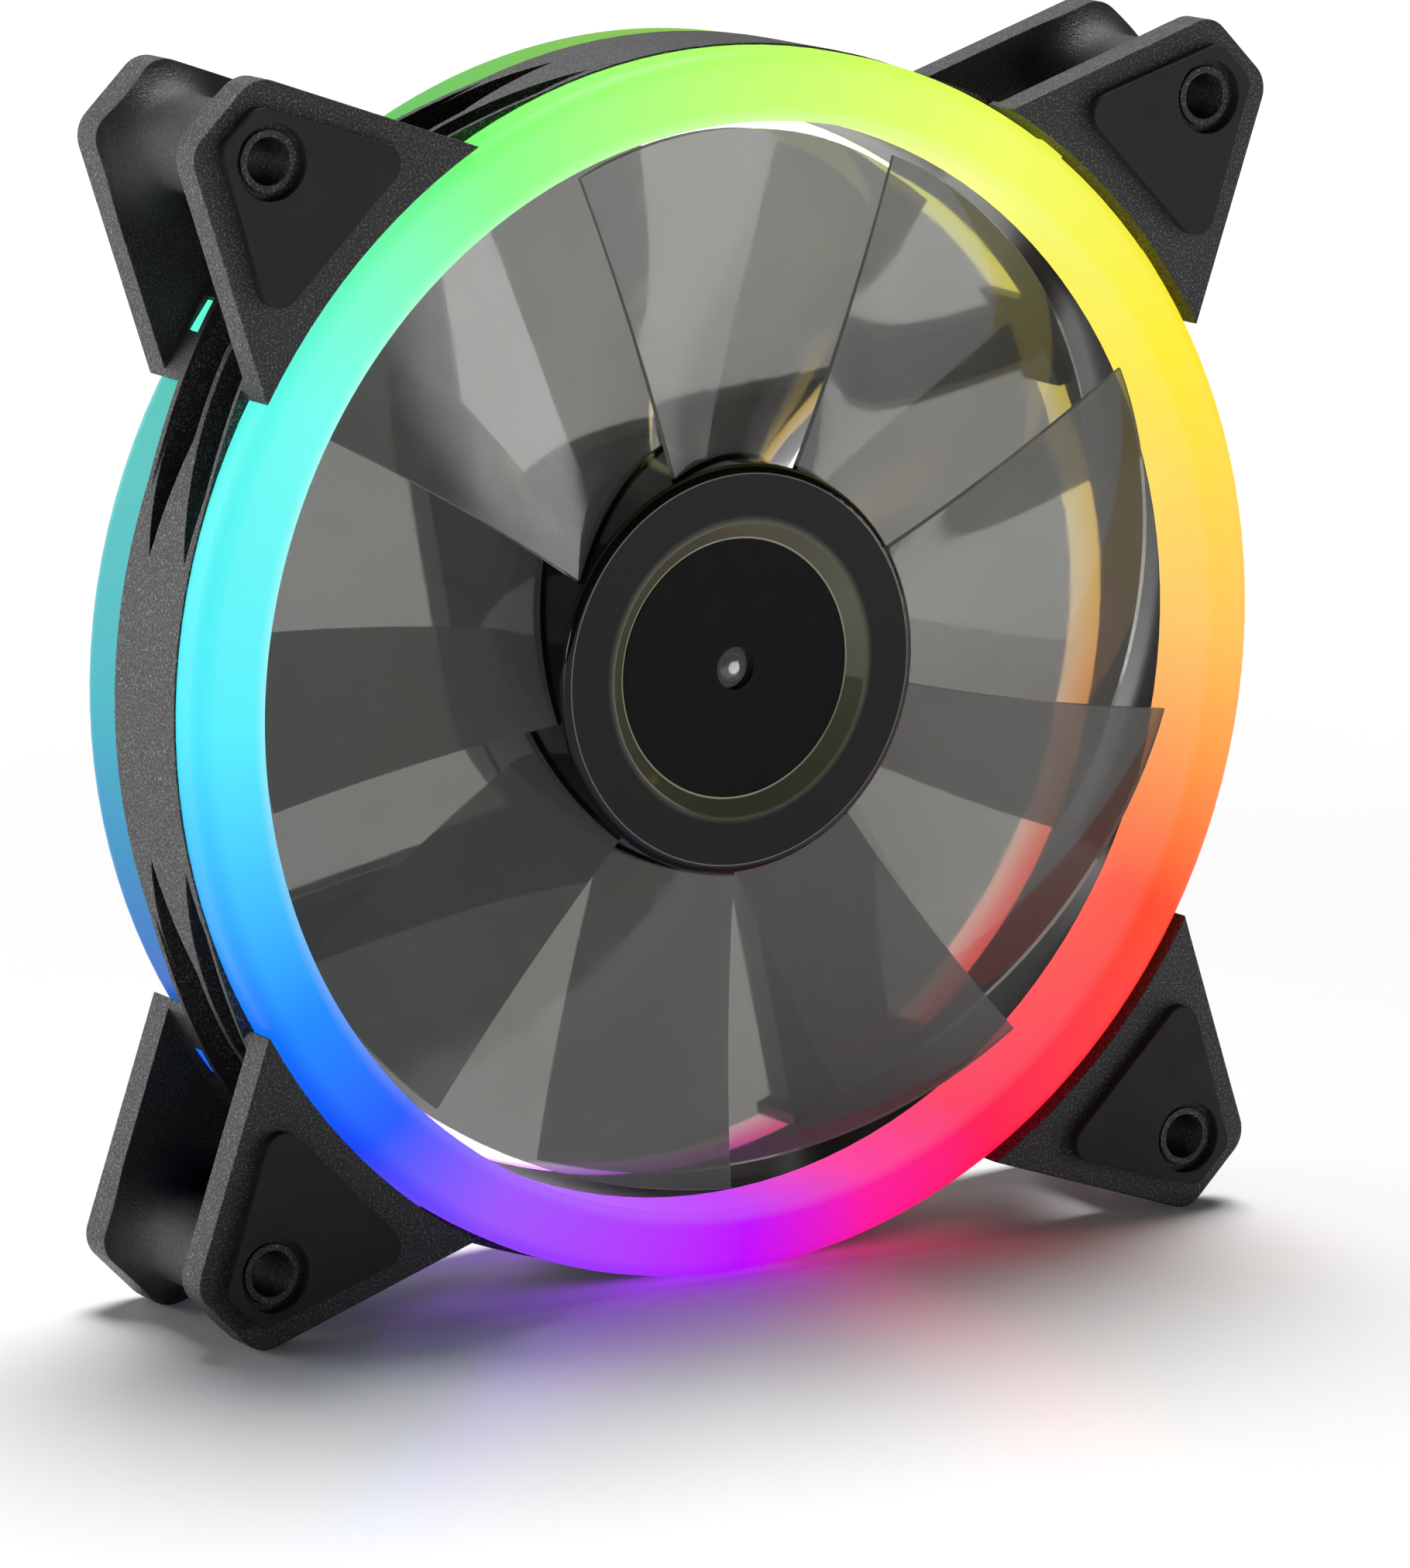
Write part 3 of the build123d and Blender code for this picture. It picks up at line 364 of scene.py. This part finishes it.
def lit_ring(name, glare, wall, lip, lip_depths):
    """Milky ring lit from inside, its colour going round with the angle.

    The face pales towards the duct by a painted glare, mostly at the top left. The outer wall keeps
    the share wall of the light, and the tabs on it keep all. The inner wall glows with the
    strength lip and pales from the first of lip_depths to the second.
    """
    s = Surface(name)
    radius, angle, depth = s.round_axis()
    hue = colour_wheel(s, angle)
    deep = s.mix(1.0, hue, hue, "MULTIPLY")
    # painted glare: the face whitens near the duct, most round GLARE_ANGLE, least on the far side
    glare_facing = s.smooth(s.maths("COSINE", s.maths("SUBTRACT", angle, GLARE_ANGLE)), -0.2, 1.0, 0.25, 1.0)
    glare_near_duct = s.smooth(radius, *FACE_TO_GLARE, 0.0, glare)
    glow = s.mix(s.maths("MULTIPLY", glare_near_duct, glare_facing), hue, linear(WHITE))
    inside = s.smooth(radius, *FACE_TO_INNER_WALL)
    paling = s.smooth(depth, *lip_depths, 0.0, LIP_PALING)
    glow = s.mix(s.maths("MULTIPLY", inside, paling), glow, linear(WARM_WHITE))
    edge = s.smooth(radius, *FACE_TO_EDGE)
    glow = s.mix(s.maths("MULTIPLY", edge, EDGE_DEPTH), glow, deep)
    shade = s.smooth(radius, *FACE_TO_OUTER_WALL, FULL_GLOW, wall)
    tab = s.smooth(radius, *OUTER_WALL_TO_TABS)
    shade = s.mix_numbers(tab, shade, FULL_GLOW)
    s.set(Base_Color=s.mix(UNLIT_DARKNESS, hue, linear((20, 20, 20))))
    s.set(Emission_Color=glow, Emission_Strength=s.mix_numbers(inside, shade, lip))
    s.set(Roughness=0.45, Specular_IOR_Level=0.1)
    s.bump(s.noise(*RING_RIPPLE), 0.1, RIPPLE_HEIGHT)
    return s.material


def smoke_tint(s, radius, beyond, rim_highlight, in_dish):
    """Colour of the smoke plastic from the gate in the middle out to the blades, with painted highlight
    lines at the rim and at the label's edge and a painted glint on the gate.
    """
    streak = s.noise(*SMOKE_STREAKS)
    blades = s.two_tone(streak, (114, 114, 111), (130, 130, 127))
    hub = s.two_tone(streak, (9, 9, 8), (15, 15, 14))
    dish = s.two_tone(streak, (72, 71, 56), (92, 90, 72))
    # painted highlight: a near-white spot in the middle of the grey gate
    gate = s.two_tone(s.smooth(radius, *GATE_TO_GLINT), (96, 96, 94), (225, 225, 222))
    tint = s.mix(beyond, hub, blades)
    # painted highlight: a thin bright line round the rim
    tint = s.mix(rim_highlight, tint, linear((120, 120, 116)))
    tint = s.mix(in_dish, tint, dish)
    # painted highlight: a thin bright line at the label's edge
    tint = s.mix(s.band(radius, LABEL_RADIUS, LABEL_HIGHLIGHT_HALF_WIDTH), tint, linear((190, 188, 160)))
    tint = s.mix(s.smooth(radius, *DISH_TO_DIMPLE), tint, linear((30, 30, 29)))
    return s.mix(s.smooth(radius, *DIMPLE_TO_GATE), tint, gate)


def smoke_plastic():
    """Polished smoke-grey plastic: see-through blades with a painted faint glow, a nearly black hub with
    painted highlight lines and a painted glint on the gate, an olive dish.
    """
    s = Surface("smoke_plastic")
    radius, _, _ = s.round_axis()
    beyond = s.smooth(radius, *HUB_TO_BLADES)
    # band of the painted rim highlight; the same band also gets a higher specular level
    rim_highlight = s.band(radius, RIM_RADIUS, RIM_HIGHLIGHT_HALF_WIDTH)
    in_dish = s.smooth(radius, *HUB_TO_DISH)
    s.set(Base_Color=smoke_tint(s, radius, beyond, rim_highlight, in_dish))
    s.set(Transmission_Weight=s.maths("MULTIPLY", beyond, BLADE_CLARITY), IOR=SMOKE_IOR)
    polish = s.mix_numbers(s.maths("MAXIMUM", rim_highlight, in_dish), 0.25, 0.5)
    s.set(Specular_IOR_Level=s.mix_numbers(beyond, polish, 0.5))
    # painted glow: the blades give off a faint white light of their own
    s.set(Emission_Color=linear((255, 255, 250)))
    s.set(Emission_Strength=s.maths("MULTIPLY", beyond, BLADE_PAINTED_GLOW))
    s.set(Roughness=s.smooth(s.noise(*SMOKE_WEAR), *CLOUD_RANGE, 0.05, 0.11))
    return s.material


def plain(name, dark, light, roughness, metallic, specular):
    """Two-tone material with matching roughness changes and a fine bump."""
    s = Surface(name)
    cloud = s.noise(*PLAIN_CLOUDS)
    s.set(Base_Color=s.two_tone(cloud, dark, light))
    s.set(Roughness=s.smooth(cloud, *CLOUD_RANGE, roughness, roughness + PLAIN_ROUGHNESS_SPREAD))
    s.set(Metallic=metallic, Specular_IOR_Level=specular)
    s.bump(s.noise(*PLAIN_GRAIN), 0.15, FINE_HEIGHT)
    return s.material


def dress_all():
    """Every CAD node gets its material."""
    pads = [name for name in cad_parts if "_pad_" in name]
    dress(frame_plastic(), "frame")
    dress(pad_rubber(), *pads)
    front_glow = lit_ring("front_glow", glare=0.22, wall=0.95, lip=0.97, lip_depths=NO_PALING)
    rear_glow = lit_ring("rear_glow", glare=0.35, wall=0.50, lip=3.2, lip_depths=REAR_PALING)
    dress(front_glow, "front_diffuser")
    dress(rear_glow, "rear_diffuser")
    dress(smoke_plastic(), "impeller")
    for name, *look in PLAIN_MATERIALS:
        dress(plain(name, *look), *PLAIN_WEARERS[name])


# ================================================================ studio
def make_floor():
    """Plain pale floor under the ears, with a soft gloss, brightening into a backdrop far away."""
    half = FLOOR_SIZE / 2
    corners = [(-half, -half, 0), (half, -half, 0), (half, half, 0), (-half, half, 0)]
    mesh = bpy.data.meshes.new("floor")
    mesh.from_pydata(corners, [], [(0, 1, 2, 3)])
    floor = bpy.data.objects.new("floor", mesh)
    floor.location.z = FLOOR_HEIGHT
    bpy.context.scene.collection.objects.link(floor)
    s = Surface("floor_paper")
    s.set(Base_Color=s.two_tone(s.noise(*FLOOR_CLOUDS), *FLOOR_PAPER))
    away = s.node("VectorMath", {"operation": "LENGTH"}, in0=s.place()).outputs["Value"]
    s.set(Emission_Color=linear(WHITE))
    s.set(Emission_Strength=s.smooth(away, *SWEEP_DISTANCES, 0.0, SWEEP_GLOW))
    s.set(Roughness=0.25, Specular_IOR_Level=0.5)
    mesh.materials.append(s.material)


def make_world():
    """Studio dome with soft lights; plain white where the camera sees it, straight or through the blades."""
    world = bpy.data.worlds.new("studio")
    bpy.context.scene.world = world
    world.use_nodes = True
    world.node_tree.nodes.clear()
    w = Nodes(world.node_tree)
    place = w.node("TexCoord").outputs["Generated"]
    total = DOME_GLOW
    for direction, inner, outer, radiance in DOME_LIGHTS:
        towards = Vector(direction).normalized()
        dot = w.node("VectorMath", {"operation": "DOT_PRODUCT"}, in0=place, in1=towards)
        patch = w.smooth(dot.outputs["Value"], cos(outer), cos(inner), 0.0, radiance)
        total = w.maths("ADD", total, patch)
    lights = w.node("Background", Color=linear(WHITE), Strength=total)
    backdrop = w.node("Background", Color=linear(WHITE), Strength=1.0)
    path = w.node("LightPath")
    straight = w.maths("LESS_THAN", path.outputs["Diffuse Depth"], ONE_BOUNCE)
    through = w.maths("MULTIPLY", path.outputs["Is Transmission Ray"], straight)
    seen = w.maths("ADD", through, path.outputs["Is Camera Ray"])
    pick = w.node("MixShader", in0=seen, in1=lights.outputs[0], in2=backdrop.outputs[0])
    w.node("OutputWorld", Surface=pick.outputs[0])


def make_camera():
    """Long lens from the front left, a little above the axis."""
    back = Vector((
        -sin(CAMERA_TURN) * cos(CAMERA_RISE),
        -cos(CAMERA_TURN) * cos(CAMERA_RISE),
        sin(CAMERA_RISE),
    ))
    data = bpy.data.cameras.new("camera")
    data.sensor_fit = "HORIZONTAL"
    data.sensor_width = SENSOR_WIDTH
    data.lens = FOCAL_LENGTH
    camera = bpy.data.objects.new("camera", data)
    bpy.context.scene.collection.objects.link(camera)
    aim = (-back).to_track_quat("-Z", "Y").to_matrix().to_4x4()
    place = Matrix.Translation(CAMERA_AIM + CAMERA_DISTANCE * back)
    camera.matrix_world = place @ aim @ Matrix.Rotation(CAMERA_ROLL, 4, "Z")
    bpy.context.scene.camera = camera


dress_all()
make_floor()
make_world()
make_camera()
bpy.context.scene.view_settings.view_transform = "Standard"
